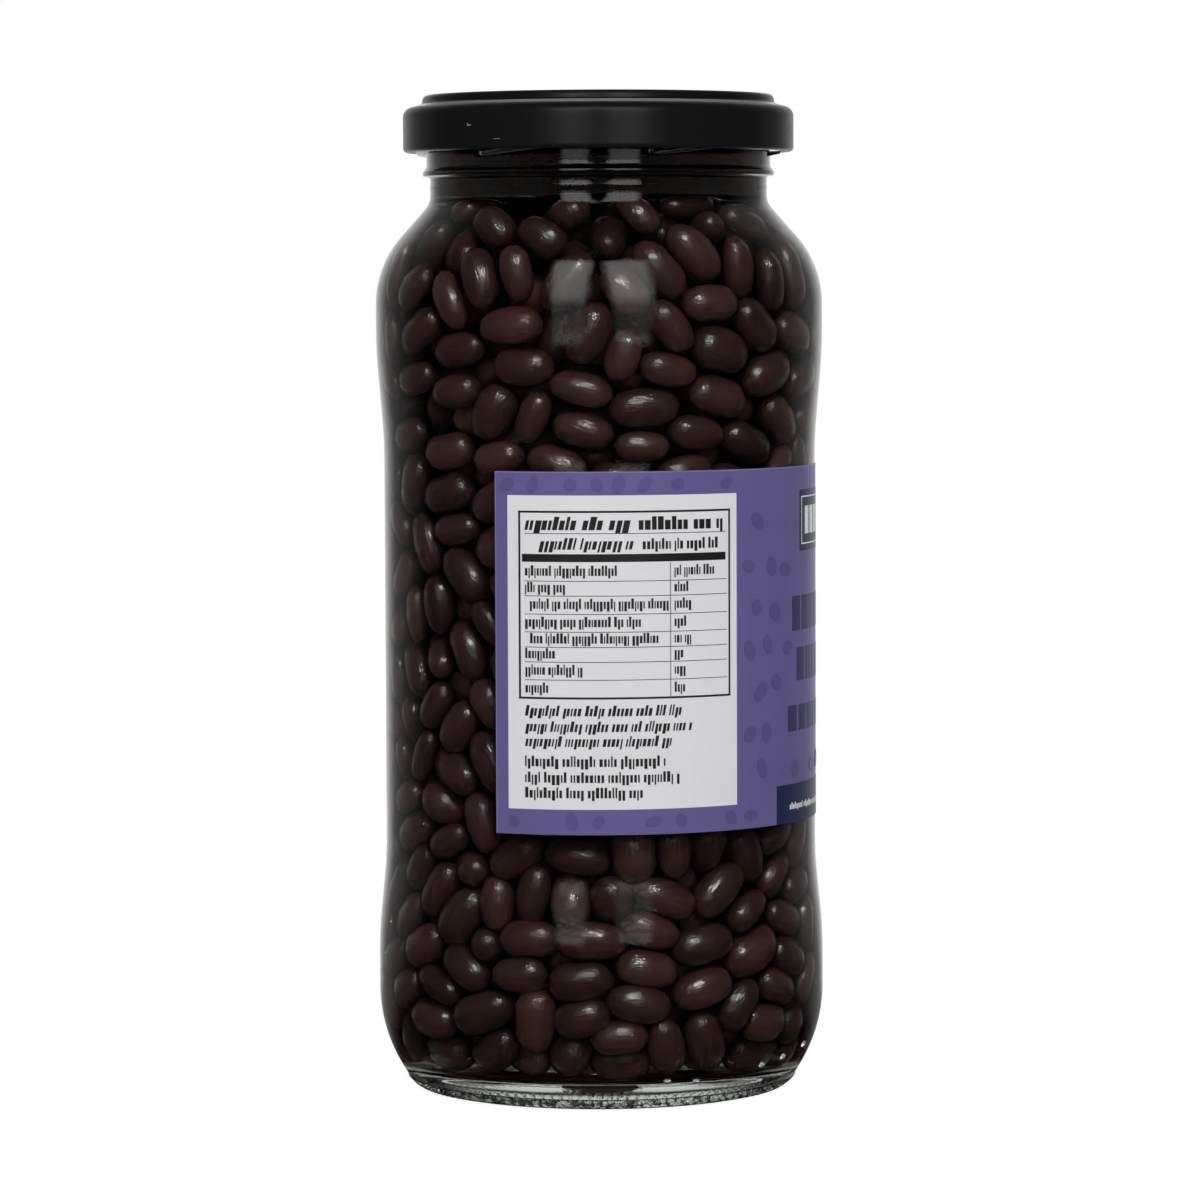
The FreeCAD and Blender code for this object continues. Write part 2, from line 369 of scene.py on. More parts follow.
def painted_foot_finish():
    """Thick glass of the foot with painted light and shade in its colour: rings of light and dark over one
    another, and a fine painted stipple low down.
    """
    material = see_through(
        "stippled glass of the foot", (0.6, 0.65, 0.6), GLASS_IOR, GLASS_WAVES, THICK_UNBENT)
    tree = material.node_tree
    nodes, links = tree.nodes, tree.links
    place = nodes.new("ShaderNodeTexCoord")
    height = nodes.new("ShaderNodeSeparateXYZ")
    links.new(place.outputs["Object"], height.inputs[0])
    level = ranged(tree, height.outputs["Z"], 0.0, FOOT_Z * MM)
    # The rings and the stipple are painted light and shade, laid into the glass's base colour.
    rings = nodes.new("ShaderNodeValToRGB")
    for stop, shade in PAINTED_FOOT_RINGS:
        elements = rings.color_ramp.elements
        spot = elements[0] if stop == 0.0 else elements[-1] if stop == 1.0 else elements.new(stop)
        spot.color = (0.94 * shade, shade, 0.93 * shade, 1.0)
    links.new(level, rings.inputs["Fac"])
    painted_dimples = nodes.new("ShaderNodeTexVoronoi")
    painted_dimples.inputs["Scale"].default_value = 900.0
    links.new(place.outputs["Object"], painted_dimples.inputs["Vector"])
    painted_dimple_shade = ranged(tree, painted_dimples.outputs["Distance"], 0.36, 0.6, (1.0, 0.02))
    stipple = chosen(tree, ranged(tree, level, *PAINTED_STIPPLE_TOP), painted_dimple_shade, 1.0)
    shaded = nodes.new("ShaderNodeVectorMath")
    shaded.operation = "SCALE"
    links.new(rings.outputs["Color"], shaded.inputs[0])
    links.new(stipple, shaded.inputs["Scale"])
    links.new(shaded.outputs[0], nodes["Principled BSDF"].inputs["Base Color"])
    return material


clear_glass = see_through("clear jar glass", GLASS, GLASS_IOR, GLASS_WAVES)
wetted_glass = see_through("jar glass against brine", WET_GLASS, GLASS_IOR / BRINE_IOR, 0.0)
under_glass = see_through("glass under the foot", GLASS, GLASS_IOR, GLASS_WAVES, THICK_UNBENT)
wetted_floor = see_through(
    "glass floor against brine", WET_GLASS, GLASS_IOR / BRINE_IOR, 0.0, THICK_UNBENT)
WETTED, FOOT, UNDER, FLOOR = range(1, 5)
jar = placed("jar_glass_blown", glass_mesh, "glass",
             clear_glass, wetted_glass, painted_foot_finish(), under_glass, wetted_floor)
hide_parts("jar_glass")
wet_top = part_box("brine")[1].z
inner_ring = len(outline) - len(inside) - 1
for face in glass_mesh.polygons:
    ring = min(v for v in face.vertices) // SEGMENTS
    if ring >= inner_ring and face.center.z < wet_top:
        face.material_index = WETTED if face.center.z > 2.0 * FOOT_Z * MM else FLOOR
    elif face.center.z < FOOT_Z * MM:
        face.material_index = FOOT if face.center.xy.length > FOOT_R * MM else UNDER

dots = bmesh.new()
heel = [p for p in underside if p[0] > 31.0 and p[1] < 30.0]
for angle, z in MOULD_DOTS:
    reach = float(np.interp(z, [p[1] for p in heel], [p[0] for p in heel]))
    turn = math.radians(angle)
    spot = Matrix.Translation((reach * math.sin(turn) * MM, -reach * math.cos(turn) * MM, z * MM))
    bmesh.ops.create_icosphere(dots, subdivisions=2, radius=DOT_R * MM, matrix=spot)
dots_mesh = bpy.data.meshes.new("glass_mould_dots")
dots.to_mesh(dots_mesh)
dots.free()
placed("glass_mould_dots", closed_and_smooth(dots_mesh), "glass", clear_glass)


# ---------------------------------------------------------------- bean heap
# Cooked black beans that have settled in the jar: smooth dark brown ovals, a little kidney-shaped and all
# slightly different. Only the outer layers are loose beans, packed round a core that stays mostly out of
# sight; the core and the beans behind the outer layer are painted paler, as painted light.
BEAN_LENGTH = 10.5
BEAN_R = 3.5
BEAN_GAP = 3.5             # between the middles of a bean's two balls
BEANS = 880
HEAP_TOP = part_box("beans")[1].z / MM - 1.0      # no bean lies higher
START_R = (24.0, 33.0)     # where the beans are before they settle
START_Z = (10.0, 146.0)
NEIGHBOUR = 10.5           # balls farther apart than this are not compared
SINK = 0.011
CORE_R = 20.0
CORE_Z = (26.0, 122.0)

wall_outline = rounded_outline(cavity_corners + [(BORE_R, wet_top / MM)], 2.0)
wall_points = np.array([tuple(p) for p in wall_outline])
wall_start = wall_points[:-1]
wall_run = wall_points[1:] - wall_start
wall_length2 = (wall_run ** 2).sum(axis=1)
wall_inwards = np.stack([-wall_run[:, 1], wall_run[:, 0]], axis=1) / np.sqrt(wall_length2)[:, None]


def off_the_wall(p, radius):
    """How far each ball of beans has to move to clear the inside of the glass."""
    reach = np.hypot(p[:, 0], p[:, 1])
    q = np.stack([reach, p[:, 2]], axis=1)
    share = np.clip(((q[:, None] - wall_start) * wall_run).sum(axis=2) / wall_length2, 0.0, 1.0)
    away = q[:, None] - wall_start - share[:, :, None] * wall_run
    distance2 = (away ** 2).sum(axis=2)
    nearest = distance2.argmin(axis=1)
    rows = np.arange(len(p))
    away = away[rows, nearest]
    normal = wall_inwards[nearest]
    side = (away * normal).sum(axis=1)
    distance = np.sqrt(distance2[rows, nearest])
    outward = away / np.maximum(distance, 1e-6)[:, None]
    normal = np.where((side > 0.0)[:, None], outward, normal)
    push = np.maximum(radius - np.where(side > 0.0, distance, -distance), 0.0)[:, None] * normal
    round_axis = p[:, :2] / np.maximum(reach, 1e-6)[:, None]
    return np.concatenate([round_axis * push[:, :1], push[:, 1:]], axis=1)


def off_the_core(p, radius):
    """How far each ball has to move to clear the core, an upright capsule."""
    away = p.copy()
    away[:, 2] -= np.clip(p[:, 2], *CORE_Z)
    distance = np.linalg.norm(away, axis=1)
    return np.maximum(CORE_R + radius - distance, 0.0)[:, None] * away / np.maximum(distance, 1e-6)[:, None]


def settled_beans(count, seed, steps):
    """Middles, long axes and sizes of beans packed in the jar; each is two joined balls that push others."""
    draw = np.random.default_rng(seed)
    size = draw.uniform(0.87, 1.12, count)
    radius = np.repeat(BEAN_R * size, 2)
    apart = BEAN_GAP * size * draw.uniform(0.85, 1.15, count)
    turn = draw.uniform(0.0, 2.0 * math.pi, count)
    reach = np.sqrt(draw.uniform(START_R[0] ** 2, START_R[1] ** 2, count))
    middle = np.stack([reach * np.cos(turn), reach * np.sin(turn), draw.uniform(*START_Z, count)], axis=1)
    axis = draw.normal(size=(count, 3)) * (1.0, 1.0, 0.3)
    axis /= np.linalg.norm(axis, axis=1)[:, None]
    p = np.empty((2 * count, 3))
    bean_of = np.repeat(np.arange(count), 2)
    for step in range(steps):
        p[0::2] = middle - axis * apart[:, None] / 2.0
        p[1::2] = middle + axis * apart[:, None] / 2.0
        if step % 8 == 0:
            distance2 = ((p[:, None] - p[None]) ** 2).sum(axis=2)
            first, second = np.nonzero(np.triu(distance2 < NEIGHBOUR ** 2, 1))
            other = bean_of[first] != bean_of[second]
            first, second = first[other], second[other]
        if step < steps - 80:
            p[:, 2] -= SINK
        between = p[second] - p[first]
        distance = np.linalg.norm(between, axis=1)
        overlap = radius[first] + radius[second] - distance
        hit = overlap > 0.0
        i, j = first[hit], second[hit]
        shove = between[hit] * (0.5 * overlap[hit] / np.maximum(distance[hit], 1e-6))[:, None]
        move = np.stack([np.bincount(j, shove[:, k], len(p)) - np.bincount(i, shove[:, k], len(p))
                         for k in range(3)], axis=1)
        hits = np.bincount(i, minlength=len(p)) + np.bincount(j, minlength=len(p))
        p += 1.8 * move / np.maximum(hits, 1)[:, None]
        p += off_the_wall(p, radius * 1.03)
        p[:, 2] = np.minimum(p[:, 2], HEAP_TOP - radius)
        p += off_the_core(p, radius)
        middle = (p[0::2] + p[1::2]) / 2.0
        axis = p[1::2] - p[0::2]
        outwards = middle * (1.0, 1.0, 0.0)
        reach = np.linalg.norm(outwards, axis=1)
        outwards /= reach[:, None]
        flatten = 0.12 * smoothstep(25.0, 29.0, reach) * (axis * outwards).sum(axis=1)
        axis -= flatten[:, None] * outwards
        axis /= np.linalg.norm(axis, axis=1)[:, None]
    return middle, axis, size


def bean_mesh(name, slim, flat, bend, blunt):
    """One bean of length 2 along X with its eye on -Y; slim and flat are its width and thickness shares."""
    work = bmesh.new()
    bmesh.ops.create_cube(work, size=2.0)
    bmesh.ops.subdivide_edges(work, edges=work.edges, cuts=3, use_grid_fill=True)
    for vert in work.verts:
        x, y, z = vert.co.normalized()
        dent = 0.16 * math.exp(-(x / 0.35) ** 2) if y < 0.0 else 0.0
        full = (1.0 + blunt * x) * (1.0 + 0.07 * x * x)
        vert.co = (x, y * slim * full * (1.0 - dent) + bend * (x * x - 0.3), z * flat * full)
    mesh = bpy.data.meshes.new(name)
    work.to_mesh(mesh)
    work.free()
    own = mesh.attributes.new("own", "FLOAT_VECTOR", "POINT")
    own.data.foreach_set("vector", [c for v in mesh.vertices for c in v.co])
    return closed_and_smooth(mesh)


def scatter_tree():
    """Geometry Nodes: one of the given shapes on each point, turned and sized by the point's attributes."""
    tree = bpy.data.node_groups.new("scattered shapes", "GeometryNodeTree")
    tree.interface.new_socket("Geometry", in_out="OUTPUT", socket_type="NodeSocketGeometry")
    for name, kind in (("Geometry", "Geometry"), ("Shapes", "Collection"), ("Finish", "Material")):
        tree.interface.new_socket(name, in_out="INPUT", socket_type="NodeSocket" + kind)
    size = tree.interface.new_socket("Size", in_out="INPUT", socket_type="NodeSocketFloat")
    size.default_value = 1.0
    nodes, links = tree.nodes, tree.links
    given = nodes.new("NodeGroupInput")
    made = nodes.new("NodeGroupOutput")
    shapes = nodes.new("GeometryNodeCollectionInfo")
    shapes.inputs["Separate Children"].default_value = True
    shapes.inputs["Reset Children"].default_value = True
    links.new(given.outputs["Shapes"], shapes.inputs["Collection"])
    read = {}
    for name, kind in (("spin", "FLOAT_VECTOR"), ("scale", "FLOAT_VECTOR"), ("kind", "INT")):
        read[name] = nodes.new("GeometryNodeInputNamedAttribute")
        read[name].data_type = kind
        read[name].inputs["Name"].default_value = name
    sized = nodes.new("ShaderNodeVectorMath")
    sized.operation = "SCALE"
    links.new(read["scale"].outputs[0], sized.inputs[0])
    links.new(given.outputs["Size"], sized.inputs["Scale"])
    put = nodes.new("GeometryNodeInstanceOnPoints")
    put.inputs["Pick Instance"].default_value = True
    links.new(given.outputs["Geometry"], put.inputs["Points"])
    links.new(shapes.outputs[0], put.inputs["Instance"])
    links.new(read["kind"].outputs[0], put.inputs["Instance Index"])
    links.new(read["spin"].outputs[0], put.inputs["Rotation"])
    links.new(sized.outputs[0], put.inputs["Scale"])
    real = nodes.new("GeometryNodeRealizeInstances")
    links.new(put.outputs[0], real.inputs[0])
    finish = nodes.new("GeometryNodeSetMaterial")
    links.new(real.outputs[0], finish.inputs[0])
    links.new(given.outputs["Finish"], finish.inputs["Material"])
    links.new(finish.outputs[0], made.inputs[0])
    return tree


SCATTER = scatter_tree()


def scattered(name, places, spins, scales, kinds, tones, shapes, material, size, slot):
    """Piece of many small shapes, one at each place; tones is kept as an attribute for the material."""
    spots = bpy.data.meshes.new(name + "_spots")
    spots.from_pydata([tuple(p) for p in places], [], [])
    for label, kind, values, field in (
        ("spin", "FLOAT_VECTOR", spins, "vector"),
        ("scale", "FLOAT_VECTOR", scales, "vector"),
        ("kind", "INT", kinds, "value"),
        ("tone", "FLOAT", tones, "value"),
    ):
        stored = spots.attributes.new(label, kind, "POINT")
        stored.data.foreach_set(field, np.array(values).ravel())
    family = bpy.data.collections.new(name + "_shapes")
    for mesh in shapes:
        family.objects.link(bpy.data.objects.new(mesh.name, mesh))
    carrier = bpy.data.objects.new(name + "_spots", spots)
    bpy.context.scene.collection.objects.link(carrier)
    scatter = carrier.modifiers.new("scatter", "NODES")
    scatter.node_group = SCATTER
    inputs = [item for item in SCATTER.interface.items_tree if item.in_out == "INPUT"]
    sockets = {item.name: item.identifier for item in inputs}
    scatter[sockets["Shapes"]] = family
    scatter[sockets["Finish"]] = material
    scatter[sockets["Size"]] = size
    evaluated = carrier.evaluated_get(bpy.context.evaluated_depsgraph_get())
    mesh = bpy.data.meshes.new_from_object(evaluated)
    mesh.name = name
    carrier.modifiers.remove(scatter)
    for thing in [carrier] + list(family.objects):
        bpy.data.objects.remove(thing)
    bpy.data.collections.remove(family)
    mesh.shade_smooth()
    return placed(name, mesh, slot, material)


# Bean colours from the darkest to the palest; the palest is painted light, which the beans behind the outer
# layer take.
BEAN_COLOURS_AND_PAINTED_LIGHT = ((0.0152, 0.0068, 0.0062), (0.053, 0.0228, 0.0196), (0.13, 0.056, 0.042))
MOTTLE = 0.17


def bean_finish():
    """Wet cooked bean skin: dark brown with a purple cast, a little mottled, darker on some beans than
    others, and painted paler on the beans behind the outer layer as painted light.
    """
    material, nodes, links, skin = new_finish(
        "black bean skin", (0.03, 0.016, 0.014), 0.3,
        IOR=1.45, Coat_Weight=1.0, Coat_Roughness=0.05, Coat_IOR=1.6)
    group = uneven(nodes, links, skin, 260.0, 2600.0, 0.2, 0.00003)
    own = nodes.new("ShaderNodeAttribute")
    own.attribute_name = "own"
    streaks = nodes.new("ShaderNodeMapping")
    streaks.inputs["Scale"].default_value = (0.8, 3.0, 3.0)
    links.new(own.outputs["Vector"], streaks.inputs["Vector"])
    fold = nodes.new("ShaderNodeTexNoise")
    fold.inputs["Detail"].default_value = 2.0
    links.new(streaks.outputs[0], fold.inputs["Vector"])
    folded = nodes.new("ShaderNodeBump")
    folded.inputs["Distance"].default_value = 0.00012
    links.new(fold.outputs[0], folded.inputs["Height"])
    links.new(nodes["Bump"].outputs["Normal"], folded.inputs["Normal"])
    links.new(folded.outputs["Normal"], skin.inputs["Normal"])
    links.new(folded.outputs["Normal"], skin.inputs["Coat Normal"])
    tone = nodes.new("ShaderNodeAttribute")
    tone.attribute_name = "tone"
    ramp = nodes.new("ShaderNodeValToRGB")
    ramp.color_ramp.elements.new(0.5)
    for spot, colour in enumerate(BEAN_COLOURS_AND_PAINTED_LIGHT):
        ramp.color_ramp.elements[spot].color = colour + (1.0,)
    mottled = nodes.new("ShaderNodeMath")
    mottled.operation = "MULTIPLY_ADD"
    mottled.inputs[1].default_value = MOTTLE
    links.new(group.outputs["Tone"], mottled.inputs[0])
    links.new(tone.outputs["Fac"], mottled.inputs[2])
    links.new(mottled.outputs[0], ramp.inputs["Fac"])
    links.new(ramp.outputs["Color"], skin.inputs["Base Color"])
    return material


bean_skin = bean_finish()
middles, axes, sizes = settled_beans(BEANS, 7, 460)
draw = np.random.default_rng(21)
bean_kinds = [
    bean_mesh("bean_oval", 0.64, 0.61, 0.03, 0.02),
    bean_mesh("bean_kidney", 0.62, 0.59, 0.09, 0.03),
    bean_mesh("bean_plump", 0.68, 0.64, 0.03, -0.04),
    bean_mesh("bean_long", 0.58, 0.57, 0.06, 0.05),
    bean_mesh("bean_blunt", 0.66, 0.59, 0.05, -0.07),
]
bean_spins = []
for axis in axes:
    facing = Matrix.Rotation(draw.uniform(0.0, 2.0 * math.pi), 3, Vector(axis))
    aimed = Vector((1, 0, 0)).rotation_difference(Vector(axis)).to_matrix()
    bean_spins.append(tuple((facing @ aimed).to_euler()))

# Beans behind the outer layer, below the shoulder, are painted paler: painted light that lifts the gaps,
# where the brine in front of them swallows most of their light.
SHOULDER_Z = 136.0
painted_light_behind = 0.6 * (1.0 - smoothstep(22.0, 28.5, np.hypot(middles[:, 0], middles[:, 1])))
loose_beans = scattered(
    "beans_loose",
    middles * MM,
    bean_spins,
    sizes[:, None] * draw.uniform(0.95, 1.05, (BEANS, 3)),
    draw.integers(0, len(bean_kinds), BEANS),
    draw.uniform(0.05, 0.35, BEANS) + painted_light_behind * (middles[:, 2] < SHOULDER_Z),
    bean_kinds,
    bean_skin,
    BEAN_LENGTH * MM / 2.0,
    "beans",
)
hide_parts("beans")
core_low = CORE_Z[0] - CORE_R + 1.0
core_high = CORE_Z[1] + CORE_R - 1.0
core_outline = rounded_outline([
    (0.0, core_low),
    (CORE_R - 0.5, core_low, CORE_R - 2.0),
    (CORE_R - 0.5, core_high, CORE_R - 2.0),
    (0.0, core_high),
], 3.0)
# The core's colour is paler than a bean's: painted light in the gaps, where the brine and the packing
# swallow the light.
core_painted_light_finish, nodes, links, skin = new_finish("beans out of sight", (0.16, 0.07, 0.045), 0.6)
uneven(nodes, links, skin, 180.0, 900.0, 0.3, 0.002)
core_mesh = turned_mesh("beans_core", filled_in(core_outline, 6.0), 64)
core = placed("beans_core", core_mesh, "beans", core_painted_light_finish)
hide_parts("beans")


# ---------------------------------------------------------------- brine
# The dark cooking brine between and over the beans, up to its level in the neck. It wets the glass all
# over, so it reaches a little into the wall, and its colour comes from its depth. It is two pieces that
# meet at the heap, the upper twice as dense, so that the neck is dark and the beans stay clear to see.
WETTING = 0.25
HEAP_LEVEL = HEAP_TOP - 1.2
BRINE_COLOUR = (0.28, 0.24, 0.22, 1.0)
brine_corners = [(c[0] + WETTING, c[1]) + tuple(c[2:]) for c in cavity_corners]
for i, shift in ((0, 0.0), (1, 0.0), (2, WETTING)):
    corner = cavity_corners[i]
    brine_corners[i] = (corner[0] + shift, corner[1] - WETTING) + tuple(corner[2:])
brine_outline = rounded_outline(
    brine_corners + [(BORE_R + WETTING, wet_top / MM), (0.0, wet_top / MM)], 1.4)
above = next(i for i, point in enumerate(brine_outline) if point[1] > HEAP_LEVEL)
below = brine_outline[above - 1]
share = (HEAP_LEVEL - below[1]) / (brine_outline[above][1] - below[1])
shore = Vector(below).lerp(Vector(brine_outline[above]), share)
middle = Vector((0.0, HEAP_LEVEL))
for name, piece_outline, density in (
    ("brine_among_beans", brine_outline[:above] + [shore, middle], 65.0),
    ("brine_over_beans", [middle, shore] + brine_outline[above:], 130.0),
):
    brine_finish = see_through(name.replace("_", " "), (1.0, 1.0, 1.0), 1.001, 0.0)
    nodes, links = brine_finish.node_tree.nodes, brine_finish.node_tree.links
    depth = nodes.new("ShaderNodeVolumeAbsorption")
    depth.inputs["Color"].default_value = BRINE_COLOUR
    depth.inputs["Density"].default_value = density
    links.new(depth.outputs[0], nodes["Material Output"].inputs["Volume"])
    brine = placed(name, turned_mesh(name, filled_in(piece_outline, 6.0), 160), "brine", brine_finish)
    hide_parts("brine")


# ---------------------------------------------------------------- sealing ring
# Pale plastisol compound flowed into the lid's channel and pressed down over the rim by the vacuum.
seal_finish, nodes, links, skin = new_finish("sealing compound", (0.55, 0.53, 0.48), 0.55)
uneven(nodes, links, skin, 400.0, 3000.0, 0.3, 0.00005)
frame["nodes"]["lid_seal"].material_slots[0].material = seal_finish


# ---------------------------------------------------------------- lid
# Twist-off lid pressed from tinplate with satin black lacquer: a recessed panel with the safety button
# drawn down, a raised ring over the rim, a plain skirt and a rolled edge with six lugs under the thread.
lid_low, lid_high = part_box("lid")
LID_R = lid_high.x / MM
LID_LOW = lid_low.z / MM
LID_TOP = lid_high.z / MM
SHEET = 0.3
CURL_R = 0.75
LUG_SPAN = (27.0, 44.0)    # degrees past a thread's start
LUG_DEPTH = 1.0


def curved_slabs(name, boxes, inner, outer, slot, material):
    """Piece of thin closed slabs round the jar, each (first angle, last angle, low z, high z[, lean])."""
    verts, faces = [], []
    for first, last, low, high, *leaning in boxes:
        lean = sum(leaning)
        count = max(1, math.ceil((last - first) / 2.0))
        start = len(verts)
        for i in range(count + 1):
            along = first + (last - first) * i / count
            for r, z in ((inner, low), (outer, low), (outer, high), (inner, high)):
                turn = math.radians(along + (lean if z == high else 0.0))
                verts.append((r * math.sin(turn) * MM, -r * math.cos(turn) * MM, z * MM))
        for i in range(count):
            a, b = start + 4 * i, start + 4 * i + 4
            for k in range(4):
                faces.append((a + k, b + k, b + (k + 1) % 4, a + (k + 1) % 4))
        faces.append(tuple(start + k for k in range(4)))
        faces.append(tuple(start + 4 * count + k for k in (3, 2, 1, 0)))
    mesh = bpy.data.meshes.new(name)
    mesh.from_pydata(verts, [], faces)
    closed_and_smooth(mesh)
    mesh.shade_flat()
    return placed(name, mesh, slot, material)


def lid_surface():
    """Outer side of the sheet from the button to the end of the roll."""
    panel = LID_TOP - 1.5
    points = rounded_outline([
        (0.0, panel - 0.35),
        (7.0, panel - 0.35, 9.0),
        (11.0, panel + 0.35, 1.6),
        (12.6, panel, 1.2),
        (25.3, panel, 0.9),
        (26.0, LID_TOP, 0.8),
        (29.85, LID_TOP, 0.9),
        (30.0, LID_TOP - 1.4, 0.5),
        (31.4, LID_TOP - 1.95, 1.0),
        (LID_R, LID_TOP - 2.3, 1.7),
        (LID_R, LID_LOW + CURL_R + 0.3),
    ], 0.22)
    for i in range(26):
        angle = math.radians(-10.0 * i)
        points.append(Vector((
            LID_R - CURL_R + CURL_R * math.cos(angle),
            LID_LOW + CURL_R + CURL_R * math.sin(angle),
        )))
    return filled_in(points, 1.2)


def sheet_outline(surface, thickness):
    """Closed outline of pressed sheet: the surface out, and back along its inner side."""
    inner = []
    for i, point in enumerate(surface):
        before, after = surface[max(i - 1, 0)], surface[min(i + 1, len(surface) - 1)]
        run = (after - before).normalized()
        inner.append(point + Vector((-abs(run.y) if i == 0 else run.y, -run.x)) * thickness)
    inner[0] = Vector((0.0, surface[0][1] - thickness))
    return surface + inner[::-1]


def lid_finish():
    """Satin black lacquer with a faint orange peel, a little glossier in some places than in others."""
    material, nodes, links, skin = new_finish(
        "satin black lacquer", (0.0068, 0.0068, 0.0076), 0.3, IOR=1.5, Specular_IOR_Level=0.29)
    group = uneven(nodes, links, skin, 700.0, 5200.0, 0.35, 0.000012)
    gloss = ranged(material.node_tree, group.outputs["Tone"], 0.0, 1.0, (0.27, 0.33))
    links.new(gloss, skin.inputs["Roughness"])
    return material


def lugged(turn, r, z):
    """Pinches the rolled edge inwards at the six lugs."""
    for i in range(STARTS):
        along = (np.degrees(turn) - THREAD_START - i * 360.0 / STARTS) % 360.0
        start, end = LUG_SPAN
        pinch = smoothstep(start, start + 3.0, along) * (1.0 - smoothstep(end - 3.0, end, along))
        hem = (r < LID_R - 0.85) * (r > LID_R - 2.6) * (z < LID_LOW + 2.2)
        r = r - LUG_DEPTH * pinch * hem
    return r, z


black_lacquer = lid_finish()
lid_mesh = turned_mesh("lid_shell", sheet_outline(lid_surface(), SHEET), 256, lugged)
lid = placed("lid_shell", lid_mesh, "lid", black_lacquer)
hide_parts("lid")

# The ledge outside the raised ring is glossier, and its grey colour is a painted highlight.
LEDGE = (LID_R - 3.0, LID_R - 1.5)
LEDGE_OVER = 160.0
PAINTED_HIGHLIGHT = 1
# Grey lacquer on the ledge: a painted highlight.
ledge_highlight_lacquer, nodes, links, skin = new_finish(
    "black lacquer rubbed glossy", (0.22, 0.22, 0.22), 0.15, IOR=1.6)
uneven(nodes, links, skin, 500.0, 3000.0, 0.3, 0.00001)
lid.data.materials.append(ledge_highlight_lacquer)
for face in lid.data.polygons:
    reach = math.hypot(face.center.x, face.center.y) / MM
    if face.normal.z > 0.6 and LEDGE[0] < reach < LEDGE[1] and face.center.z > LEDGE_OVER * MM:
        face.material_index = PAINTED_HIGHLIGHT
bare_tin, nodes, links, skin = new_finish("bare tinplate in a scratch", (0.5, 0.5, 0.5), 0.35, Metallic=0.6)
uneven(nodes, links, skin, 900.0, 4000.0, 0.5, 0.00003)
curved_slabs("lid_scratches", [
    (-40.9, -39.6, 163.32, 163.5, 0.6),
    (-40.6, -40.1, 163.45, 163.72, -0.3),
    (-31.4, -29.2, 161.05, 161.12),
], LID_R - 0.02, LID_R + 0.02, "lid", bare_tin)


# ---------------------------------------------------------------- label
# Coated paper wrapped round the straight panel and printed in fields of purple, pale grey and navy.
# The words of the print are left as plain small blocks, and its scattered motif as plain ovals.
LABEL_R = PANEL_R
PAPER = 0.12
LABEL_ARC = (-27.9, 198.5)
LABEL_Z = (46.5, 106.4)
INK = 0.02


def print_finish(name, colour, spread):
    """Ink on coated paper: near even colour with the faint cloudiness of print under a gloss varnish."""
    material, nodes, links, skin = new_finish(name, colour, 0.34, IOR=1.45)
    group = uneven(nodes, links, skin, 120.0, 2400.0, 0.3, 0.00001)
    mix = nodes.new("ShaderNodeMix")
    mix.data_type = "RGBA"
    mix.inputs[6].default_value = (*[c * (1.0 - spread) for c in colour], 1.0)
    mix.inputs[7].default_value = (*[c * (1.0 + spread) for c in colour], 1.0)
    links.new(group.outputs["Tone"], mix.inputs[0])
    links.new(mix.outputs[2], skin.inputs["Base Color"])
    return material


PURPLE = (0.118, 0.095, 0.268)
purple_ink = print_finish("purple ink on coated paper", PURPLE, 0.05)
motif_ink = print_finish("darker purple ink", (0.092, 0.073, 0.225), 0.04)
pale_ink = print_finish("pale grey ink", (0.705, 0.705, 0.72), 0.02)
black_ink = print_finish("black ink", (0.014, 0.014, 0.015), 0.1)
grey_ink = print_finish("dark grey ink", (0.075, 0.075, 0.08), 0.1)
navy_ink = print_finish("navy ink", (0.012, 0.019, 0.068), 0.06)
title_ink = print_finish("deep violet ink", (0.035, 0.03, 0.105), 0.06)

label = curved_slabs("label_paper", [(*LABEL_ARC, *LABEL_Z)], LABEL_R, LABEL_R + PAPER, "label", purple_ink)
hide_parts("label")

lift = LABEL_R + PAPER
PANEL_ARC = (-24.3, 37.8)
PANEL_BOX_Z = (50.7, 102.5)
curved_slabs("print_pale_panel", [(*PANEL_ARC, *PANEL_BOX_Z)], lift, lift + 2 * INK, "label", pale_ink)
edge_ink = print_finish("worn edge of the paper", (0.19, 0.17, 0.36), 0.1)
curved_slabs("print_paper_edge", [
    (LABEL_ARC[0] + 0.02, LABEL_ARC[0] + 0.3, *LABEL_Z),
    (LABEL_ARC[0] + 0.02, LABEL_ARC[1] - 0.02, LABEL_Z[1] - 0.2, LABEL_Z[1]),
], lift - INK, lift + INK, "label", edge_ink)

TABLE_ARC = (-21.0, 35.4)
TABLE_Z = (69.1, 99.8)
DIVIDER = 18.3
RULES_Z = (88.4, 85.95, 82.95, 80.0, 77.5, 75.05, 72.1)
# Rows of the table as angles: where the words start and end, and where the value ends.
TABLE_ROWS = (
    (-19.5, 5.8, 31.5), (-19.5, -8.5, 23.6), (-18.2, 18.0, 24.5), (-19.5, 10.5, 22.8),
    (-18.2, 15.4, 24.7), (-19.5, -10.0, 23.0), (-19.5, -3.9, 22.8), (-19.5, -12.6, 23.8),
)
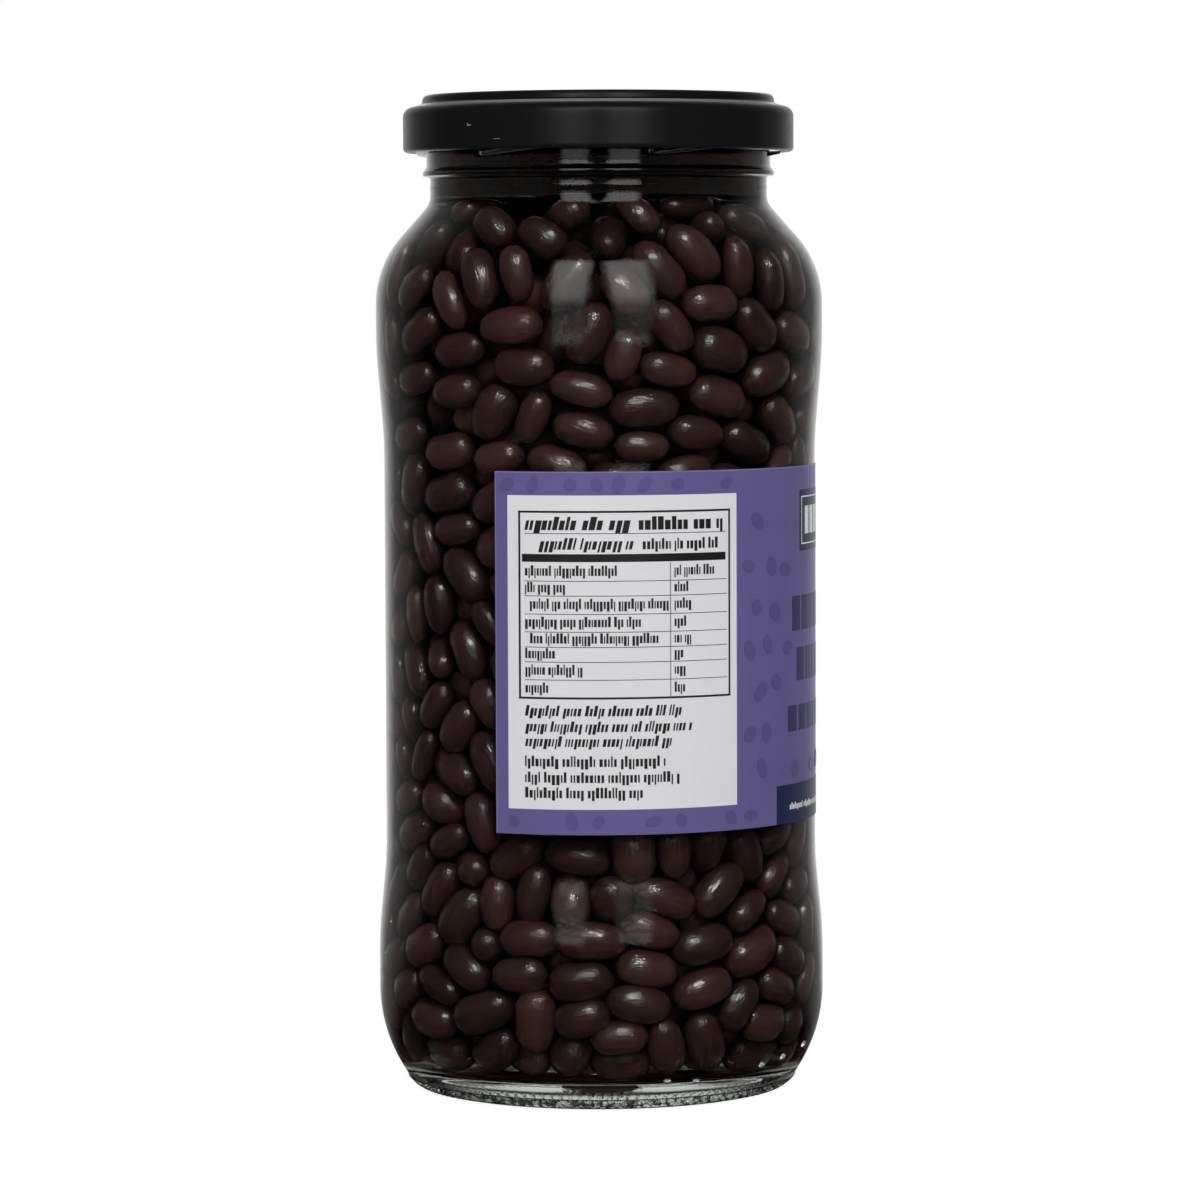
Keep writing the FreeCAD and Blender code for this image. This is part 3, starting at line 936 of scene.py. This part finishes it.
# Lines under the table as (height, angle of the end).
LINES_UNDER_TABLE = ((66.8, 21.9), (64.2, 24.2), (61.75, 18.9), (58.45, 17.8), (55.8, 21.4), (53.25, 11.0))
table = []
for z in TABLE_Z:
    table.append((TABLE_ARC[0] - 0.3, TABLE_ARC[1] + 0.3, z - 0.17, z + 0.17))
for angle in TABLE_ARC:
    table.append((angle - 0.27, angle + 0.27, TABLE_Z[0] - 0.17, TABLE_Z[1] + 0.17))
table.append((-20.3, 34.2, 91.55, 92.85))
curved_slabs("print_table_frame", table, lift + INK, lift + 3 * INK, "label", black_ink)
rules = [(-19.6, 34.6, z - 0.06, z + 0.06) for z in RULES_Z]
rules.append((-19.6, 34.4, 96.17, 96.29))
rules.append((DIVIDER - 0.1, DIVIDER + 0.1, TABLE_Z[0], 91.4))
curved_slabs("print_table_rules", rules, lift + INK, lift + 3 * INK, "label", grey_ink)


def word_blocks(first, last, low, height, seed, width=0.3, lean=0.0, gap=0.36):
    """Blocks in place of one line of small type: words of narrow blocks, some of them taller or hanging."""
    draw = np.random.default_rng(seed)
    blocks, angle = [], first
    pitch = math.degrees(width * height / LABEL_R)
    while angle < last - pitch:
        for _ in range(draw.integers(3, 11)):
            wide = pitch * draw.choice([0.42, 0.68, 0.68, 0.85])
            rise, drop = draw.choice([(0.72, 0.0), (0.72, 0.0), (1.0, 0.0), (0.72, 0.24)])
            if angle + wide > last:
                break
            foot, head = low - drop * height, low + rise * height
            blocks.append((angle, angle + wide, foot, head, lean * (rise + drop)))
            angle += wide + gap * pitch
        angle += 0.75 * pitch
    return blocks


bold = word_blocks(-19.6, 8.5, 96.8, 2.2, 3, 0.56, 0.75, 0.2)
bold += word_blocks(10.0, 34.2, 96.8, 2.2, 8, 0.52, 0.0, 0.2)
curved_slabs("print_words_bold", bold, lift + INK, lift + 3 * INK, "label", black_ink)
small = word_blocks(-15.9, 9.0, 93.6, 1.9, 4, 0.4, 0.7) + word_blocks(11.0, 32.1, 93.6, 1.8, 5, 0.34)
row_z = [91.4] + list(RULES_Z) + [TABLE_Z[0]]
for i, (start, end, value) in enumerate(TABLE_ROWS):
    low = (row_z[i] + row_z[i + 1]) / 2.0 - 0.62
    small += word_blocks(start, end, low, 1.7, 10 + i)
    small += word_blocks(19.4, value, low, 1.7, 30 + i)
for i, (z, end) in enumerate(LINES_UNDER_TABLE):
    small += word_blocks(-19.7, end, z - 0.65, 1.75, 50 + i, 0.36, 0.5 if i < 3 else 0.0)
curved_slabs("print_words", small, lift + INK, lift + 3 * INK, "label", black_ink)

FRONT = 85.0
curved_slabs("print_navy_boxes", [
    (FRONT - 19.3, FRONT + 19.3, 92.1, 102.4),
    (FRONT - 32.0, FRONT + 32.0, LABEL_Z[0] + 0.02, 53.0),
], lift, lift + 2 * INK, "label", navy_ink)
inset = []
for z in (93.3, 101.2):
    inset.append((FRONT - 18.0, FRONT + 18.0, z - 0.12, z + 0.12))
for angle in (FRONT - 18.0, FRONT + 18.0):
    inset.append((angle - 0.19, angle + 0.19, 93.18, 101.32))
inset += word_blocks(59.4, 110.0, 48.75, 1.1, 71, 0.5)
for i in range(7):
    inset.append((FRONT - 15.6 + 4.6 * i, FRONT - 12.2 + 4.6 * i, 94.9, 99.6))
curved_slabs("print_pale_lines", inset, lift + INK, lift + 3 * INK, "label", pale_ink)

# Lines of large type on the front as (first angle, low z, high z).
TITLES = ((61.0, 78.8, 84.6), (63.6, 70.3, 75.9), (58.6, 61.9, 66.2))
titles = []
for first, low, high in TITLES:
    angle = first
    while angle < 2.0 * FRONT - first - 4.0:
        titles.append((angle, angle + 4.9, low, high))
        angle += 6.2
curved_slabs("print_titles", titles, lift, lift + 2 * INK, "label", title_ink)

MOTIF_LENGTH = 3.4
MOTIF_ROWS = 9
motif_draw = np.random.default_rng(5)
motif_places, motif_spins, motif_scales = [], [], []
for row in range(MOTIF_ROWS):
    whole = 0 < row < MOTIF_ROWS - 1
    for column in range(32):
        angle = LABEL_ARC[0] + 4.0 + column * 7.4 + (row % 2) * 3.7 + motif_draw.uniform(-1.6, 1.6)
        z = LABEL_Z[0] + 2.1 + row * 6.95 + motif_draw.uniform(-1.3, 1.3) * whole
        in_panel = PANEL_ARC[0] - 3.3 < angle < PANEL_ARC[1] + 3.3 and whole
        in_boxes = abs(angle - FRONT) < 34.0 and (z < 55.0 or z > 90.0)
        in_titles = any(first - 3.0 < angle < 2.0 * FRONT - first + 3.0 and low - 1.9 < z < high + 1.9
                        for first, low, high in TITLES)
        if in_panel or in_boxes or in_titles or angle > LABEL_ARC[1] - 3.5 or motif_draw.uniform() < 0.2:
            continue
        turn = math.radians(angle)
        motif_places.append((lift * math.sin(turn) * MM, -lift * math.cos(turn) * MM, z * MM))
        motif_spins.append((math.pi / 2.0, motif_draw.uniform(0.0, math.pi), turn))
        size = 1.0 if whole else 0.8
        long, wide = motif_draw.uniform(0.8, 1.15) * size, motif_draw.uniform(0.6, 0.8) * size
        motif_scales.append((long, wide, 1.0))
motif_shape = bpy.data.meshes.new("motif_oval")
motif_work = bmesh.new()
bmesh.ops.create_cone(motif_work, cap_ends=True, segments=20, radius1=1.0, radius2=1.0, depth=0.06)
motif_work.to_mesh(motif_shape)
motif_work.free()
motifs = scattered("print_motifs", motif_places, motif_spins, motif_scales, [0] * len(motif_places),
                   [0.5] * len(motif_places), [motif_shape], motif_ink, MOTIF_LENGTH / 2.0 * MM, "label")
motifs.data.shade_flat()


# ---------------------------------------------------------------- set
# White floor and surround, two tall soft boxes side by side in front with a low part at the foot of
# each, smaller ones for the beans in the brine, and the camera.
floor_mesh = bpy.data.meshes.new("floor")
floor_work = bmesh.new()
bmesh.ops.create_circle(floor_work, cap_ends=True, segments=96, radius=3.0)
floor_work.to_mesh(floor_mesh)
floor_work.free()
floor = bpy.data.objects.new("floor", floor_mesh)
bpy.context.scene.collection.objects.link(floor)


def combined(tree, operation, first, second):
    """Socket with the sum or the product of two others."""
    result = tree.nodes.new("ShaderNodeMath")
    result.operation = operation
    tree.links.new(first, result.inputs[0])
    tree.links.new(second, result.inputs[1])
    return result.outputs[0]


def make_surround():
    """Shader group: how bright the studio looks in a mirror, from white behind the jar to dark in front."""
    tree = bpy.data.node_groups.new("studio surround", "ShaderNodeTree")
    tree.interface.new_socket("Direction", in_out="INPUT", socket_type="NodeSocketVector")
    tree.interface.new_socket("Level", in_out="OUTPUT", socket_type="NodeSocketFloat")
    given = tree.nodes.new("NodeGroupInput")
    made = tree.nodes.new("NodeGroupOutput")
    unit = tree.nodes.new("ShaderNodeVectorMath")
    unit.operation = "NORMALIZE"
    tree.links.new(given.outputs[0], unit.inputs[0])
    part = tree.nodes.new("ShaderNodeSeparateXYZ")
    tree.links.new(unit.outputs[0], part.inputs[0])
    backdrop = ranged(tree, part.outputs["Y"], 0.15, 0.92, (0.0, 0.26), "SMOOTHSTEP")
    middle_of_it = ranged(tree, part.outputs["Y"], 0.75, 0.97, (0.0, 0.55), "SMOOTHSTEP")
    tree.links.new(combined(tree, "ADD", backdrop, middle_of_it), made.inputs[0])
    return tree


SURROUND = make_surround()
AMBIENT = 0.62

world = bpy.data.worlds.new("studio")
bpy.context.scene.world = world
world.use_nodes = True
air = world.node_tree
look = air.nodes.new("ShaderNodeTexCoord")
mirror = air.nodes.new("ShaderNodeGroup")
mirror.node_tree = SURROUND
air.links.new(look.outputs["Generated"], mirror.inputs[0])
path = air.nodes.new("ShaderNodeLightPath")
level = AMBIENT
for ray, seen in (
    ("Is Glossy Ray", mirror.outputs[0]),
    ("Is Transmission Ray", mirror.outputs[0]),
    ("Is Camera Ray", 1.0),
):
    level = chosen(air, path.outputs[ray], level, seen)
air.links.new(level, air.nodes["Background"].inputs["Strength"])
air.nodes["Background"].inputs["Color"].default_value = (1.0, 1.0, 1.0, 1.0)

# Distances from the jar's axis, in metres, over which the floor turns white and lights up in mirrors. Nearer
# the axis, mirrors and glass see the floor dark: a painted shadow under the jar.
WHITE_BEYOND = (0.0265, 0.0325)
MIRRORED_BEYOND = (0.030, 0.037)
floor_finish, nodes, links, skin = new_finish("white floor", (0.93, 0.93, 0.93), 0.6)
skin.inputs["Specular IOR Level"].default_value = 0.0
place = nodes.new("ShaderNodeTexCoord")
mirror = nodes.new("ShaderNodeGroup")
mirror.node_tree = SURROUND
links.new(place.outputs["Object"], mirror.inputs[0])
far = nodes.new("ShaderNodeVectorMath")
far.operation = "LENGTH"
links.new(place.outputs["Object"], far.inputs[0])
# Mirrors and glass see the floor under the jar dark: a painted shadow.
beyond_painted_shadow = ranged(floor_finish.node_tree, far.outputs["Value"], *MIRRORED_BEYOND)
lit = combined(floor_finish.node_tree, "MULTIPLY", beyond_painted_shadow, mirror.outputs[0])
seen_in_mirror = nodes.new("ShaderNodeEmission")
links.new(lit, seen_in_mirror.inputs["Strength"])
white = nodes.new("ShaderNodeEmission")
path = nodes.new("ShaderNodeLightPath")
beyond_foot = ranged(floor_finish.node_tree, far.outputs["Value"], *WHITE_BEYOND)
out_there = combined(floor_finish.node_tree, "MULTIPLY", beyond_foot, path.outputs["Is Camera Ray"])
layered(floor_finish.node_tree, skin.outputs[0], [
    (out_there, white.outputs[0]),
    (path.outputs["Is Glossy Ray"], seen_in_mirror.outputs[0]),
    (path.outputs["Is Transmission Ray"], seen_in_mirror.outputs[0]),
])
floor_mesh.materials.append(floor_finish)

# Soft boxes: distance and height of aim in metres, brightness, and the soft edges across their cloth.
# Brine bends light, so what lies in it has lamps of its own, narrower and higher than the ones outside.
SOFT_BOX_FAR = 1.15
SOFT_BOX_AIM = 0.12
SOFT_BOX_BRIGHT = 2.2
SOFT_EDGES = (("X", 0.0, 0.22), ("X", 1.0, 0.78), ("Y", 0.0, 0.35), ("Y", 1.0, 0.88))
under_brine = bpy.data.collections.new("lit through the brine")
in_the_open = bpy.data.collections.new("lit in the open")
for sunken in (loose_beans, core):
    under_brine.objects.link(sunken)
    in_the_open.objects.link(sunken)
for member in in_the_open.collection_objects:
    member.light_linking.link_state = "EXCLUDE"


def soft_box(name, bearing, wide, lean, tall, bright, lit_things):
    """Lamp with soft edges that faces the jar; its place and its size are angles seen from the jar."""
    lamp = bpy.data.lights.new(name, "AREA")
    lamp.shape = "RECTANGLE"
    lamp.size = 2.0 * SOFT_BOX_FAR * math.tan(math.radians(wide / 2.0))
    lamp.size_y = 2.0 * SOFT_BOX_FAR * math.tan(math.radians(tall / 2.0))
    lamp.energy = bright * SOFT_BOX_BRIGHT * math.pi * lamp.size * lamp.size_y
    lamp.use_nodes = True
    cloth = lamp.node_tree
    on_cloth = cloth.nodes.new("ShaderNodeNewGeometry")
    across = cloth.nodes.new("ShaderNodeSeparateXYZ")
    cloth.links.new(on_cloth.outputs["Parametric"], across.inputs[0])
    edges = []
    for axis, low, high in SOFT_EDGES:
        edges.append(ranged(cloth, across.outputs[axis], low, high, kind="SMOOTHSTEP"))
    glow = edges[0]
    for edge in edges[1:]:
        glow = combined(cloth, "MULTIPLY", glow, edge)
    cloth.links.new(glow, cloth.nodes["Emission"].inputs["Strength"])
    box = bpy.data.objects.new(name, lamp)
    bpy.context.scene.collection.objects.link(box)
    box.light_linking.receiver_collection = lit_things
    turn, rise = math.radians(bearing), math.radians(lean)
    level = math.cos(rise)
    box.location = Vector((math.sin(turn) * level, -math.cos(turn) * level, math.sin(rise)))
    box.location = box.location * SOFT_BOX_FAR + Vector((0.0, 0.0, SOFT_BOX_AIM))
    box.rotation_euler = (math.pi / 2.0 - rise, 0.0, turn)


for bearing, wide, side in ((-15.5, 22.0, "left"), (17.0, 26.0, "right")):
    soft_box(side + "_soft_box", bearing, wide, 23.5, 56.0, 1.0, in_the_open)
for bearing, wide, side in ((-15.5, 17.0, "left"), (17.0, 21.0, "right")):
    soft_box(side + "_soft_box_foot", bearing, wide, -2.6, 2.8, 0.4, in_the_open)
for bearing, wide, side in ((-12.0, 13.0, "left"), (12.0, 15.0, "right")):
    soft_box(side + "_soft_box_in_brine", bearing, wide, 15.0, 32.0, 0.4, under_brine)
soft_box("upper_soft_box_in_brine", 9.0, 26.0, 40.0, 9.0, 16.0, under_brine)

CAMERA_BACK = 0.87916
CAMERA_UP = 0.13939
CAMERA_DIP = 0.0641
CAMERA_ROLL = 0.0038
camera_data = bpy.data.cameras.new("camera")
camera_data.lens = 154.2
camera_data.sensor_width = 36.0
camera = bpy.data.objects.new("camera", camera_data)
bpy.context.scene.collection.objects.link(camera)
camera.matrix_world = (
    Matrix.Translation((0.0, -CAMERA_BACK, CAMERA_UP))
    @ Matrix.Rotation(math.pi / 2.0 - CAMERA_DIP, 4, "X")
    @ Matrix.Rotation(-CAMERA_ROLL, 4, "Z")
)
bpy.context.scene.camera = camera
bpy.context.scene.view_settings.view_transform = "Standard"
